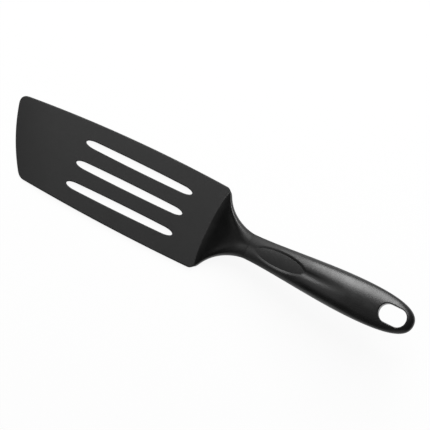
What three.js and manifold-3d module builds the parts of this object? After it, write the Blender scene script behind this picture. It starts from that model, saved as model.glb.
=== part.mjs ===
// A slotted kitchen turner: a moulded head held by its tang between two hollow handle shells.
// Sizes are in millimetres. +X runs from the blade to the tail of the handle, +Y to the blade's long side
// and +Z up. The origin is on the blade's underside, on the axis, between the slots and the heel.
import * as THREE from 'three';
import { mergeVertices } from 'three/addons/utils/BufferGeometryUtils.js';
import Module from 'manifold-3d';

const wasm = await Module();
wasm.setup();

// Blade plate
const BLADE_THICKNESS = 2.6;
const BLADE_LENGTH = 149.7; // from the origin to the front edge, on the axis
const LONG_SIDE_HALF_WIDTH = 34;
const LONG_SIDE_RADIUS = 1100;
const LONG_SIDE_CREST_X = -37; // where the long side bulges most
const SHORT_SIDE_HALF_WIDTH = 33.6;
const SHORT_SIDE_RADIUS = 1600;
const SHORT_SIDE_CREST_X = -14;
const FRONT_RADIUS = 150;
const FRONT_OFFSET = 61; // how far the front arc's centre lies to the long side, which slants the edge
const FRONT_THICKNESS = 1;
const FRONT_TAPER = 30; // how far behind the front edge the blade starts to thin
const LONG_CORNER = 7; // length of each leg of the rounded corner
const SHORT_CORNER = 3.8;
const HEEL_CORNER = 1.4; // how far before the bend the sides start to turn in

// Slots through the blade
const SLOT_COUNT = 3;
const SLOT_PITCH = 16.8;
const SLOT_LENGTH = 87.1;
const SLOT_WIDTH = 5.8; // at the middle
const SLOT_END_WIDTH = 5.1; // where the oval ends start
const SLOT_END_LENGTH = 8;
const SLOT_CENTRE_X = -55.9;

// Spine of the neck and the handle, seen from the side
const BEND_START_X = 9; // on the axis
const BEND_RADIUS = 3;
const BEND_BOW = 4; // how far the bend is set back at the heel's corners
const RISER_DEGREES = 30;
const RISER_LENGTH = 3;
const SHOULDER_RADIUS = 145;
const WAIST_DEGREES = 17; // slope of the handle at the waist
const TAIL_DEGREES = 9; // slope of the handle at the tail
const HANDLE_LENGTH = 133.5; // along the spine, from the waist to the tail

// Flare of the neck, seen from above
const HEEL_HALF_WIDTH = 33.2;
const FLARE_FROM_BEND = 6; // from the start of the bend to the start of the flare
const FLARE_START_HALF_WIDTH = 27.8;
const FLARE_SLOPE = 1.93; // how fast the flare narrows where it starts
const FLARE_PULL = 7.5; // how far the flare keeps that slope
const WAIST_PULL = 5.2; // how far before the waist the flare runs level

// Neck and handle sections
const WAIST_WIDTH = 19.5;
const WAIST_THICKNESS = 12.6;
const BELLY_WIDTH = 29.8;
const BELLY_FROM_WAIST = 89;
const GRIP_THICKNESS = 16.4;
const GRIP_FROM_WAIST = 74; // where the handle is thickest
const TAIL_THICKNESS = 11;
const NECK_SWELL_START = 0.35; // shares of the neck's length between which it thickens
const NECK_SWELL_END = 0.7;
const WAIST_FULLNESS = 0.25; // how long each end of a handle curve holds its direction, as a share of it
const BELLY_FULLNESS = 0.35;
const TAIL_SIDE_FULLNESS = 0.75;
const TAIL_END_FULLNESS = 0.64;
const HEEL_EDGE = 0.6; // width of the rounded edge where the neck starts
const NECK_ROOT = 8; // how far the neck reaches back into the blade
const NECK_ROUNDING = 2.2; // the neck's flat face narrows as this power of the way to the waist
const NECK_TROUGH = 1.4; // how far the middle of the neck is sunk
const TROUGH_FLATNESS = 3; // how level the trough stays across its middle
const TROUGH_LIP = 1.5; // how softly it ends at its edges
const TROUGH_DEEPEST = 0.5; // share of the neck's length at which it is deepest
const WAIST_FLAT = 0.15; // half of the flat that is left at the waist
const HANDLE_SQUARENESS = 2.35; // superellipse exponent of the rounded grip
const WALL = 2.2;

// Hanging hole
const HOLE_LENGTH = 21;
const HOLE_WIDTH = 14;
const HOLE_CORNER_RADIUS = 6.8;
const HOLE_FROM_TAIL = 16.7; // from the hole's middle to the tail

// Thumb rest
const THUMB_LENGTH = 38;
const THUMB_WIDTH = 10.8;
const THUMB_FROM_WAIST = 26.2;
const THUMB_RIM = 0.45; // step from the handle's crest down to the ends of the pad
const THUMB_DISH = 0.8; // how much deeper the pad is at its middle
const THUMB_CROWN = 0.4; // how far the pad falls to its sides
const PAD_THICKNESS = 1.2;
const PAD_FLOOR = 1; // what is left of the shell between the pad and the tang

// Tang and its pins
const TANG_WIDTH = 10.4;
const TANG_LENGTH = 88;
const TANG_SQUARENESS = 6;
const TANG_ROOT = 6; // how far the tang reaches back into the neck
const PIN_RADIUS = 1.6;
const PIN_SKIN = 1.5; // what is left of the shell over the end of a pin
const FRONT_PIN_FROM_WAIST = 60;
const REAR_PIN_FROM_WAIST = 78;
const BOSS_RADIUS = 4;

// Fits
const SEAM_GAP = 0.3;
const TANG_GAP = 0.3;
const PIN_GAP = 0.3;
const PAD_GAP = 0.3;

// How finely the curves are divided
const CURVE_STEPS = 8;
const PATH_STEPS = 24;
const FRONT_STEPS = 12; // along the blade's front edge
const SIDE_STEPS = 10; // along each side of the blade
const HEEL_STEPS = 5; // where a side turns into the neck
const BEND_STEPS = 4; // along the bend
const NECK_STEPS = 11; // along the neck behind the bend
const HANDLE_STEPS = 14; // along the handle as far as the tail
const TAIL_STEPS = 8; // along the rounded tail
const INNER_STEPS = 8; // along the handle's hollow
const TANG_LENGTH_STEPS = 7;
const SEAM_STEPS = 30;
const PAD_RINGS = 3; // from the middle of the pad to its edge
const EDGE_STEPS = 10; // round one edge of the neck
const FLAT_STEPS = 12; // across the flat of the neck
const GRIP_STEPS = 32; // round the handle
const HOLLOW_STEPS = 20; // round the handle's hollow
const TANG_STEPS = 16; // round the tang
const PIN_STEPS = 18;
const OVAL_STEPS = 32;
const MERGE_DISTANCE = 1e-5; // points closer than this are one point
const SETTLE_ROUNDS = 40; // repeats after which two lengths that depend on each other hold still
const TAIL_TURN = 0.97; // share of the quarter turn at which the rounded tail ends in a small flat

// Values that follow from the sizes above
const FAR = 2 * BLADE_LENGTH; // past any piece, for cutters that only need to go right through
const OVERRUN = BELLY_WIDTH / 2; // how far the cutter along the seam reaches past the handle's ends
const HEEL_X = BEND_START_X - HEEL_CORNER;
const RISER_ANGLE = THREE.MathUtils.degToRad(RISER_DEGREES);
const HANDLE_ANGLE = THREE.MathUtils.degToRad(WAIST_DEGREES);
const TAIL_ANGLE = THREE.MathUtils.degToRad(TAIL_DEGREES);
const FLARE_START_X = BEND_START_X + FLARE_FROM_BEND;
const WAIST_AT = BEND_RADIUS * RISER_ANGLE + RISER_LENGTH + SHOULDER_RADIUS * (RISER_ANGLE - HANDLE_ANGLE);
const HOLE_AT = HANDLE_LENGTH - HOLE_FROM_TAIL;
const HOLLOW_END = HOLE_AT - HOLE_LENGTH / 2 - WALL;
const UPPER_HOLLOW_START = THUMB_FROM_WAIST + THUMB_LENGTH / 2 + WALL;
const LOWER_HOLLOW_START = WAIST_THICKNESS;
const PINS = [
  { name: 'front_tang_pin', at: FRONT_PIN_FROM_WAIST },
  { name: 'rear_tang_pin', at: REAR_PIN_FROM_WAIST },
];

// The spine as stretches of even bend, in order from the heel
const SPINE = [
  { length: BEND_RADIUS * RISER_ANGLE, turn: RISER_ANGLE },
  { length: RISER_LENGTH, turn: 0 },
  { length: SHOULDER_RADIUS * (RISER_ANGLE - HANDLE_ANGLE), turn: HANDLE_ANGLE - RISER_ANGLE },
  { length: HANDLE_LENGTH, turn: TAIL_ANGLE - HANDLE_ANGLE },
];

// Where the spine is at a distance from the start of the bend, and how steeply it climbs there
function spineAt(distance) {
  const at = { x: BEND_START_X, z: BLADE_THICKNESS / 2, angle: 0 };
  let left = distance;
  const advance = (length, turn) => {
    const half = turn / 2;
    const chord = half === 0 ? length : (length * Math.sin(half)) / half;
    at.x += chord * Math.cos(at.angle + half);
    at.z += chord * Math.sin(at.angle + half);
    at.angle += turn;
    left -= length;
  };
  for (const stretch of SPINE) {
    const length = THREE.MathUtils.clamp(left, 0, stretch.length);
    advance(length, (stretch.turn * length) / stretch.length);
  }
  advance(left, 0);
  return at;
}

// The turned frame at a point of the spine: X along it, Y to the side, Z square to both
function frameAt(distance) {
  const { x, z, angle } = spineAt(distance);
  return new THREE.Matrix4().makeRotationY(-angle).setPosition(x, 0, z);
}

// The height of a path above its own x, read from its points
function readPath(path) {
  const points = path.getPoints(PATH_STEPS);
  return (x) => {
    const next = points.findIndex((point) => point.x >= x);
    if (next === 0) {
      return points[0].y;
    }
    if (next < 0) {
      return points[points.length - 1].y;
    }
    const [a, b] = [points[next - 1], points[next]];
    return a.y + ((b.y - a.y) * (x - a.x)) / (b.x - a.x);
  };
}

// How far the bend is set back at a distance to the side
function bow(side) {
  return BEND_BOW * (Math.abs(side) / HEEL_HALF_WIDTH) ** 3;
}

// Half the width of the neck against X: the rounded heel corner, then the concave flare down to the waist
function neckPlan() {
  const cornerX = FLARE_START_X - (HEEL_HALF_WIDTH - FLARE_START_HALF_WIDTH) / FLARE_SLOPE;
  const pulledHalfWidth = FLARE_START_HALF_WIDTH - FLARE_PULL * FLARE_SLOPE;
  const waistX = spineAt(WAIST_AT).x;
  const path = new THREE.Path();
  path.moveTo(HEEL_X, HEEL_HALF_WIDTH);
  path.quadraticCurveTo(cornerX, HEEL_HALF_WIDTH, FLARE_START_X, FLARE_START_HALF_WIDTH);
  path.bezierCurveTo(FLARE_START_X + FLARE_PULL, pulledHalfWidth, waistX - WAIST_PULL, WAIST_WIDTH / 2,
    waistX, WAIST_WIDTH / 2);
  return readPath(path);
}

// Half the thickness of the neck against the distance along the spine
function neckSide() {
  const [thin, thick] = [BLADE_THICKNESS / 2, WAIST_THICKNESS / 2];
  const path = new THREE.Path();
  path.moveTo(0, thin);
  path.bezierCurveTo(NECK_SWELL_START * WAIST_AT, thin, NECK_SWELL_END * WAIST_AT, thick, WAIST_AT, thick);
  return readPath(path);
}

// Half the width of the handle against the distance from the waist
function handlePlan() {
  const [waist, belly] = [WAIST_WIDTH / 2, BELLY_WIDTH / 2];
  const bellyAt = BELLY_FROM_WAIST;
  const tailTurn = bellyAt + TAIL_SIDE_FULLNESS * (HANDLE_LENGTH - bellyAt);
  const path = new THREE.Path();
  path.moveTo(0, waist);
  path.bezierCurveTo(WAIST_FULLNESS * bellyAt, waist, (1 - BELLY_FULLNESS) * bellyAt, belly, bellyAt, belly);
  path.bezierCurveTo(tailTurn, belly, HANDLE_LENGTH, TAIL_END_FULLNESS * belly, HANDLE_LENGTH, 0);
  return readPath(path);
}

// Half the thickness of the handle against the distance from the waist
function handleSide() {
  const [waist, grip, tail] = [WAIST_THICKNESS / 2, GRIP_THICKNESS / 2, TAIL_THICKNESS / 2];
  const gripAt = GRIP_FROM_WAIST;
  const fallStart = gripAt + WAIST_FULLNESS * (HOLE_AT - gripAt);
  const fallEnd = HOLE_AT - BELLY_FULLNESS * (HOLE_AT - gripAt);
  const tailTurn = HOLE_AT + TAIL_SIDE_FULLNESS * HOLE_FROM_TAIL;
  const path = new THREE.Path();
  path.moveTo(0, waist);
  path.bezierCurveTo(WAIST_FULLNESS * gripAt, waist, (1 - BELLY_FULLNESS) * gripAt, grip, gripAt, grip);
  path.bezierCurveTo(fallStart, grip, fallEnd, tail, HOLE_AT, tail);
  path.bezierCurveTo(tailTurn, tail, HANDLE_LENGTH, TAIL_END_FULLNESS * tail, HANDLE_LENGTH, 0);
  return readPath(path);
}

const neckHalfWidth = neckPlan();
const neckHalfThickness = neckSide();
const handleHalfWidth = handlePlan();
const handleHalfThickness = handleSide();
const PAD_CREST = handleHalfThickness(THUMB_FROM_WAIST) - THUMB_RIM - THUMB_DISH;
const TANG_THICKNESS = 2 * (PAD_CREST - PAD_THICKNESS - PAD_GAP - PAD_FLOOR - TANG_GAP);

// Half the width of the neck and of its flat face, where the bowed ring reaches the neck's outline
function neckWidths(distance) {
  const { x } = spineAt(distance);
  const waistX = spineAt(WAIST_AT).x;
  const share = THREE.MathUtils.clamp((x - BEND_START_X) / (waistX - BEND_START_X), 0, 1);
  const widths = { half: 0, flat: 0 };
  for (let i = 0; i < SETTLE_ROUNDS; i += 1) {
    widths.half = neckHalfWidth(x + bow(widths.flat));
    widths.flat = (widths.half - HEEL_EDGE) * (1 - share ** NECK_ROUNDING) + WAIST_FLAT;
  }
  return widths;
}

const HEEL_END_X = BEND_START_X + bow(neckWidths(0).flat);

// A value raised to a power, with its sign kept
function signedPower(value, power) {
  return Math.sign(value) * Math.abs(value) ** power;
}

// A closed superellipse ring across the spine
function ring(distance, halfWidth, halfThickness, squareness, count) {
  const frame = frameAt(distance);
  const angles = steps(0, 2 * Math.PI, count).slice(0, count);
  return angles.map((angle) => {
    const side = halfWidth * signedPower(Math.cos(angle), 2 / squareness);
    const up = halfThickness * signedPower(Math.sin(angle), 2 / squareness);
    return new THREE.Vector3(0, side, up).applyMatrix4(frame);
  });
}

// How far the neck's dished upper face lies below the flat, at a distance to the side
function trough(distance, side, flat) {
  const along = distance / WAIST_AT;
  const sinking = THREE.MathUtils.smoothstep(along, 0, TROUGH_DEEPEST);
  const rising = THREE.MathUtils.smoothstep(along, TROUGH_DEEPEST, 1);
  const across = Math.min(1, Math.abs(side) / flat);
  return NECK_TROUGH * sinking * (1 - rising) * (1 - across ** TROUGH_FLATNESS) ** TROUGH_LIP;
}

// A ring across the neck: dished above, flat below, half superellipses at the ends, bowed like the bend
function neckRing(distance) {
  const { half, flat } = neckWidths(distance);
  const thickness = neckHalfThickness(distance);
  const frame = frameAt(distance);
  const power = 2 / HANDLE_SQUARENESS;
  const point = (side, up) => {
    const { x, z } = new THREE.Vector3(0, side, up).applyMatrix4(frame);
    const sink = up > 0 ? trough(distance, side, flat) : 0;
    return new THREE.Vector3(x + bow(Math.min(Math.abs(side), flat)), side, z - sink);
  };
  const edge = steps(-Math.PI / 2, Math.PI / 2, EDGE_STEPS).map((angle) => {
    const side = flat + (half - flat) * signedPower(Math.cos(angle), power);
    return [side, thickness * signedPower(Math.sin(angle), power)];
  });
  const face = steps(flat, -flat, FLAT_STEPS).slice(1, -1).map((side) => [side, thickness]);
  return [1, -1].flatMap((end) => [...edge, ...face].map(([side, up]) => point(end * side, end * up)));
}

// A skin over rings that all have the same number of points, closed by a fan at both ends
function loft(rings) {
  const count = rings[0].length;
  const middle = (points) => points.reduce((sum, p) => sum.add(p), new THREE.Vector3()).divideScalar(count);
  const points = [...rings.flat(), middle(rings[0]), middle(rings[rings.length - 1])];
  const first = points.length - 2;
  const last = points.length - 1;
  const faces = [];
  for (let j = 0; j < count; j += 1) {
    const k = (j + 1) % count;
    for (let i = 0; i + 1 < rings.length; i += 1) {
      const [a, b] = [i * count, (i + 1) * count];
      faces.push(a + j, a + k, b + k, a + j, b + k, b + j);
    }
    const end = (rings.length - 1) * count;
    faces.push(first, k, j, last, end + j, end + k);
  }
  const geometry = new THREE.BufferGeometry().setFromPoints(points);
  geometry.setIndex(faces);
  return geometry;
}

// Evenly spaced values from one number to another
function steps(from, to, count) {
  return Array.from({ length: count + 1 }, (_, i) => from + ((to - from) * i) / count);
}

// A geometry as a solid for the booleans
function solid(geometry) {
  const bare = geometry.clone();
  bare.deleteAttribute('normal');
  bare.deleteAttribute('uv');
  const merged = mergeVertices(bare, MERGE_DISTANCE);
  return new wasm.Manifold(new wasm.Mesh({
    numProp: 3,
    vertProperties: Float32Array.from(merged.attributes.position.array),
    triVerts: Uint32Array.from(merged.index.array),
  }));
}

// A finished solid as a named mesh with its own material
function piece(name, made, material) {
  const mesh = made.getMesh();
  const geometry = new THREE.BufferGeometry();
  geometry.setAttribute('position', new THREE.BufferAttribute(mesh.vertProperties, 3));
  geometry.setIndex(new THREE.BufferAttribute(mesh.triVerts, 1));
  geometry.computeVertexNormals();
  const named = new THREE.Mesh(geometry, material);
  named.name = name;
  return named;
}

// A plan drawn in X and Y, extruded up through a turned frame from one height to another
function prism(shape, from, to, frame) {
  const options = { depth: to - from, bevelEnabled: false, curveSegments: CURVE_STEPS };
  const geometry = new THREE.ExtrudeGeometry(shape, options);
  return solid(geometry.translate(0, 0, from).applyMatrix4(frame));
}

// A round bar along the Z of a turned frame, as far above its origin as below
function bar(radius, halfLength, frame) {
  const geometry = new THREE.CylinderGeometry(radius, radius, 2 * halfLength, PIN_STEPS);
  return solid(geometry.rotateX(Math.PI / 2).applyMatrix4(frame));
}

// Half the length of the pin at a distance from the waist
function pinHalfLength(at) {
  return handleHalfThickness(at) - PIN_SKIN - PIN_GAP;
}

// Blade edges: the long and short sides against X, and the slanted front against Y
function longSideY(x) {
  const across = x - LONG_SIDE_CREST_X;
  return LONG_SIDE_HALF_WIDTH - LONG_SIDE_RADIUS + Math.sqrt(LONG_SIDE_RADIUS ** 2 - across ** 2);
}

function shortSideY(x) {
  const across = x - SHORT_SIDE_CREST_X;
  return -(SHORT_SIDE_HALF_WIDTH - SHORT_SIDE_RADIUS + Math.sqrt(SHORT_SIDE_RADIUS ** 2 - across ** 2));
}

function frontX(y) {
  const centre = Math.sqrt(FRONT_RADIUS ** 2 - FRONT_OFFSET ** 2) - BLADE_LENGTH;
  return centre - Math.sqrt(FRONT_RADIUS ** 2 - (y - FRONT_OFFSET) ** 2);
}

// Where a side of the blade meets the front edge
function cornerOn(sideY) {
  let y = sideY(-BLADE_LENGTH);
  for (let i = 0; i < SETTLE_ROUNDS; i += 1) {
    y = sideY(frontX(y));
  }
  return new THREE.Vector2(frontX(y), y);
}

const LONG_TIP = cornerOn(longSideY);
const SHORT_TIP = cornerOn(shortSideY);

// A side of the blade, turning smoothly into the neck's outline before the bend
function heelTurn(sideY, x) {
  const side = sideY(x);
  const turned = THREE.MathUtils.smoothstep(x, HEEL_X, HEEL_END_X);
  return THREE.MathUtils.lerp(side, Math.sign(side) * neckHalfWidth(x), turned);
}

// The blade's outline, from the heel along the long side, round the front, back along the short side
// and across the start of the bend
function bladeShape() {
  const longX = LONG_TIP.x + LONG_CORNER;
  const shortX = SHORT_TIP.x + SHORT_CORNER;
  const front = steps(LONG_TIP.y - LONG_CORNER, SHORT_TIP.y + SHORT_CORNER, FRONT_STEPS);
  const { flat } = neckWidths(0);
  const shape = new THREE.Shape();
  shape.moveTo(HEEL_END_X, heelTurn(longSideY, HEEL_END_X));
  const longTurn = steps(HEEL_END_X, HEEL_X, HEEL_STEPS).slice(1);
  for (const x of [...longTurn, ...steps(HEEL_X, longX, SIDE_STEPS).slice(1)]) {
    shape.lineTo(x, heelTurn(longSideY, x));
  }
  shape.quadraticCurveTo(LONG_TIP.x, LONG_TIP.y, frontX(front[0]), front[0]);
  for (const y of front.slice(1)) {
    shape.lineTo(frontX(y), y);
  }
  shape.quadraticCurveTo(SHORT_TIP.x, SHORT_TIP.y, shortX, shortSideY(shortX));
  const shortTurn = steps(HEEL_X, HEEL_END_X, HEEL_STEPS).slice(1);
  for (const x of [...steps(shortX, HEEL_X, SIDE_STEPS).slice(1), ...shortTurn]) {
    shape.lineTo(x, heelTurn(shortSideY, x));
  }
  for (const y of steps(-flat, flat, FLAT_STEPS)) {
    shape.lineTo(BEND_START_X + bow(y), y);
  }
  return shape;
}

// One slot: slightly barrel-shaped sides and long oval ends
function slotShape(y) {
  const half = SLOT_WIDTH / 2;
  const end = SLOT_END_WIDTH / 2;
  const reach = SLOT_LENGTH / 2 - SLOT_END_LENGTH;
  const shape = new THREE.Shape();
  shape.moveTo(SLOT_CENTRE_X - reach, y - end);
  shape.quadraticCurveTo(SLOT_CENTRE_X, y - 2 * half + end, SLOT_CENTRE_X + reach, y - end);
  shape.absellipse(SLOT_CENTRE_X + reach, y, SLOT_END_LENGTH, end, -Math.PI / 2, Math.PI / 2, false);
  shape.quadraticCurveTo(SLOT_CENTRE_X, y + 2 * half - end, SLOT_CENTRE_X - reach, y + end);
  shape.absellipse(SLOT_CENTRE_X - reach, y, SLOT_END_LENGTH, end, Math.PI / 2, 1.5 * Math.PI, false);
  return shape;
}

// The wedge that thins the blade toward its front edge
function frontWedge() {
  const slant = Math.atan2(SHORT_TIP.x - LONG_TIP.x, LONG_TIP.y - SHORT_TIP.y);
  const fall = (BLADE_THICKNESS - FRONT_THICKNESS) / FRONT_TAPER;
  const shape = new THREE.Shape();
  shape.moveTo(FRONT_TAPER, BLADE_THICKNESS);
  shape.lineTo(FRONT_TAPER, 2 * BLADE_THICKNESS);
  shape.lineTo(-FRONT_TAPER, 2 * BLADE_THICKNESS);
  shape.lineTo(-FRONT_TAPER, BLADE_THICKNESS - 2 * FRONT_TAPER * fall);
  const across = new THREE.Matrix4().makeRotationX(Math.PI / 2).setPosition(0, FAR / 2, 0);
  const turned = new THREE.Matrix4().makeRotationZ(slant).setPosition(-BLADE_LENGTH, 0, 0);
  return prism(shape, 0, FAR, turned.multiply(across));
}

// The tang along the spine, or the channel that clears it by a gap
function tangBar(start, gap) {
  const places = steps(start, TANG_LENGTH + gap, TANG_LENGTH_STEPS);
  return solid(loft(places.map((at) => (
    ring(WAIST_AT + at, TANG_WIDTH / 2 + gap, TANG_THICKNESS / 2 + gap, TANG_SQUARENESS, TANG_STEPS)
  ))));
}

function slottedHead() {
  const flat = new THREE.Matrix4();
  let head = prism(bladeShape(), 0, BLADE_THICKNESS, flat);
  for (let i = 0; i < SLOT_COUNT; i += 1) {
    const y = (i - (SLOT_COUNT - 1) / 2) * SLOT_PITCH;
    head = head.subtract(prism(slotShape(y), -BLADE_THICKNESS, 2 * BLADE_THICKNESS, flat));
  }
  head = head.subtract(frontWedge());
  const bend = SPINE[0].length;
  const places = [...steps(0, bend, BEND_STEPS), ...steps(bend, WAIST_AT, NECK_STEPS).slice(1)];
  const rings = places.map(neckRing);
  const root = rings[0].map((point) => point.clone().setX(point.x - NECK_ROOT));
  head = head.add(solid(loft([root, ...rings]))).add(tangBar(-TANG_ROOT, 0));
  for (const { at } of PINS) {
    head = head.subtract(bar(PIN_RADIUS + PIN_GAP, TANG_THICKNESS, frameAt(WAIST_AT + at)));
  }
  return head;
}

// The hollow of the handle: its outer skin moved inward, between two distances from the waist
function handleHollow(from, to, inset) {
  return solid(loft(steps(from, to, INNER_STEPS).map((at) => {
    const [halfWidth, halfThickness] = [handleHalfWidth(at) - inset, handleHalfThickness(at) - inset];
    return ring(WAIST_AT + at, halfWidth, halfThickness, HANDLE_SQUARENESS, HOLLOW_STEPS);
  })));
}

// The whole handle outside, with closer rings where the tail rounds off
function handleOutside() {
  const round = HOLE_FROM_TAIL;
  const straight = steps(SEAM_GAP, HANDLE_LENGTH - round, HANDLE_STEPS);
  const turn = steps(0, (TAIL_TURN * Math.PI) / 2, TAIL_STEPS).slice(1);
  const tail = turn.map((angle) => HANDLE_LENGTH - round * (1 - Math.sin(angle)));
  return solid(loft([...straight, ...tail].map((at) => (
    ring(WAIST_AT + at, handleHalfWidth(at), handleHalfThickness(at), HANDLE_SQUARENESS, GRIP_STEPS)
  ))));
}

// All the space on one side of the handle's spine: above it for side 1, below it for side -1
function halfSpace(side) {
  const shape = new THREE.Shape();
  const seam = steps(-OVERRUN, HANDLE_LENGTH + OVERRUN, SEAM_STEPS).map((at) => (
    new THREE.Vector3(0, 0, (side * SEAM_GAP) / 2).applyMatrix4(frameAt(WAIST_AT + at))
  ));
  shape.moveTo(seam[0].x, seam[0].z);
  for (const point of seam) {
    shape.lineTo(point.x, point.z);
  }
  shape.lineTo(seam[seam.length - 1].x, side * FAR);
  shape.lineTo(seam[0].x, side * FAR);
  const across = new THREE.Matrix4().makeRotationX(Math.PI / 2).setPosition(0, FAR / 2, 0);
  return prism(shape, 0, FAR, across);
}

// The hanging hole as a rounded oblong cutter
function hangingHole() {
  const [x, y, r] = [HOLE_LENGTH / 2, HOLE_WIDTH / 2, HOLE_CORNER_RADIUS];
  const shape = new THREE.Shape();
  shape.moveTo(-x + r, -y);
  shape.absarc(x - r, -y + r, r, -Math.PI / 2, 0, false);
  shape.absarc(x - r, y - r, r, 0, Math.PI / 2, false);
  shape.absarc(-x + r, y - r, r, Math.PI / 2, Math.PI, false);
  shape.absarc(-x + r, -y + r, r, Math.PI, 1.5 * Math.PI, false);
  return prism(shape, -GRIP_THICKNESS, GRIP_THICKNESS, frameAt(WAIST_AT + HOLE_AT));
}

// Height of the thumb pad's top over the spine, dished along the handle and slightly crowned across it
function padHeight(along, side) {
  const dish = THUMB_DISH * (1 - (2 * along / THUMB_LENGTH) ** 2);
  const fall = THUMB_CROWN * (2 * side / THUMB_WIDTH) ** 2;
  return handleHalfThickness(THUMB_FROM_WAIST + along) - THUMB_RIM - dish - fall;
}

// An oval disc in the thumb rest whose faces follow the pad's dished top, moved up or down
function thumbDisc(inset, bottomDrop, topDrop) {
  const shares = steps(0, 1, PAD_RINGS).slice(1);
  const halfLength = THUMB_LENGTH / 2 - inset;
  const halfWidth = THUMB_WIDTH / 2 - inset;
  const dished = (share, angle, drop) => {
    const along = share * halfLength * Math.cos(angle);
    const side = share * halfWidth * Math.sin(angle);
    return new THREE.Vector3(along, side, padHeight(along, side) - drop);
  };
  const angles = steps(0, 2 * Math.PI, OVAL_STEPS).slice(0, OVAL_STEPS);
  const oval = (share, drop) => angles.map((angle) => dished(share, angle, drop));
  const bottom = shares.map((share) => oval(share, bottomDrop));
  const top = [...shares].reverse().map((share) => oval(share, topDrop));
  const geometry = loft([...bottom, ...top]);
  return solid(geometry.applyMatrix4(frameAt(WAIST_AT + THUMB_FROM_WAIST)));
}

const outside = handleOutside();

// One half of the handle: a hollow shell with a channel for the tang and a socketed boss for each pin
function handleShell(side, hollowStart) {
  const half = outside.intersect(halfSpace(side));
  let shell = half.subtract(handleHollow(hollowStart, HOLLOW_END, WALL));
  for (const { at } of PINS) {
    const boss = bar(BOSS_RADIUS, GRIP_THICKNESS, frameAt(WAIST_AT + at));
    shell = shell.add(boss.intersect(half));
  }
  shell = shell.subtract(tangBar(-TANG_ROOT, TANG_GAP)).subtract(hangingHole());
  for (const { at } of PINS) {
    const socket = bar(PIN_RADIUS + PIN_GAP, pinHalfLength(at) + PIN_GAP, frameAt(WAIST_AT + at));
    shell = shell.subtract(socket);
  }
  return shell;
}

// Materials
const headNylon = new THREE.MeshStandardMaterial({ color: 0x2b2b2c, roughness: 0.62, metalness: 0 });
const handlePlastic = new THREE.MeshStandardMaterial({ color: 0x1c1c1d, roughness: 0.35, metalness: 0 });
const padRubber = new THREE.MeshStandardMaterial({ color: 0x303031, roughness: 0.75, metalness: 0 });
const pinSteel = new THREE.MeshStandardMaterial({ color: 0xb8babc, roughness: 0.35, metalness: 1 });

const spatula = new THREE.Group();
spatula.name = 'spatula';
spatula.add(piece('slotted_head', slottedHead(), headNylon));
const thumbRecess = thumbDisc(0, PAD_THICKNESS + PAD_GAP, -GRIP_THICKNESS);
const upperShell = handleShell(1, UPPER_HOLLOW_START).subtract(thumbRecess);
const lowerShell = handleShell(-1, LOWER_HOLLOW_START);
spatula.add(piece('handle_upper_shell', upperShell, handlePlastic));
spatula.add(piece('handle_lower_shell', lowerShell, handlePlastic.clone()));
spatula.add(piece('thumb_rest_pad', thumbDisc(PAD_GAP, PAD_THICKNESS, 0), padRubber));
for (const { name, at } of PINS) {
  const pin = bar(PIN_RADIUS, pinHalfLength(at), frameAt(WAIST_AT + at));
  spatula.add(piece(name, pin, pinSteel.clone()));
}

export default spatula;
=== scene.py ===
"""Looks of a slotted kitchen turner: its plastic pieces as fine meshes, their finishes, and the studio."""
import bisect
import math

import bmesh
import bpy
from mathutils import Matrix, Vector
from mathutils.geometry import delaunay_2d_cdt


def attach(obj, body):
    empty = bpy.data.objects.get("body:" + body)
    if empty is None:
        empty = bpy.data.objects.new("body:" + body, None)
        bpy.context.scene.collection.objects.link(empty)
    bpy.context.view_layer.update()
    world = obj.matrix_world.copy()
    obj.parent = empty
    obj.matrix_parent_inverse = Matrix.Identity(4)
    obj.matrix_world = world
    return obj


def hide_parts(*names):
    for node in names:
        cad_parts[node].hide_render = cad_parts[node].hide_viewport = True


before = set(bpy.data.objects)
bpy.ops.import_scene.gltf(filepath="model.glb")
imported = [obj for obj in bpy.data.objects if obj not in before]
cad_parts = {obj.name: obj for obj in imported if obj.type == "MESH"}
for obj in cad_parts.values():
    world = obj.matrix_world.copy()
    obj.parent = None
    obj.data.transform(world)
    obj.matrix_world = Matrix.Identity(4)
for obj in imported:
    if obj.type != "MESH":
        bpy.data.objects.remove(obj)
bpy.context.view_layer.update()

# Sizes are in millimetres, in the frame of the solids, and MM turns them into metres
MM = 0.001

# Blade plate
BLADE_THICKNESS = 2.6
BLADE_LENGTH = 149.7
LONG_SIDE_HALF_WIDTH = 34
LONG_SIDE_RADIUS = 1100
LONG_SIDE_CREST_X = -37
SHORT_SIDE_HALF_WIDTH = 33.6
SHORT_SIDE_RADIUS = 1600
SHORT_SIDE_CREST_X = -14
FRONT_RADIUS = 150
FRONT_OFFSET = 61  # how far the centre of the front edge's arc lies to the long side
FRONT_THICKNESS = 1
FRONT_TAPER = 30  # length over which the blade thins toward the front edge
LONG_CORNER = 7
SHORT_CORNER = 3.8
HEEL_CORNER = 1.4
BLADE_EDGE = 0.6  # width of the rounded edge all round the blade

# Slots through the blade
SLOT_COUNT = 3
SLOT_PITCH = 16.8
SLOT_LENGTH = 87.1
SLOT_WIDTH = 5.8
SLOT_END_WIDTH = 5.1
SLOT_END_LENGTH = 8
SLOT_CENTRE_X = -55.9
SLOT_EDGE = 0.45

# Spine of the neck and the handle, seen from the side
BEND_START_X = 9
BEND_RADIUS = 3
BEND_BOW = 4  # how far the bend is set back at the heel's corners
BOW_POWER = 3  # how steeply the bow grows toward the corners
RISER_ANGLE = math.radians(30)
RISER_LENGTH = 3
SHOULDER_RADIUS = 145
WAIST_ANGLE = math.radians(17)
TAIL_ANGLE = math.radians(9)
HANDLE_LENGTH = 133.5

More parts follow.
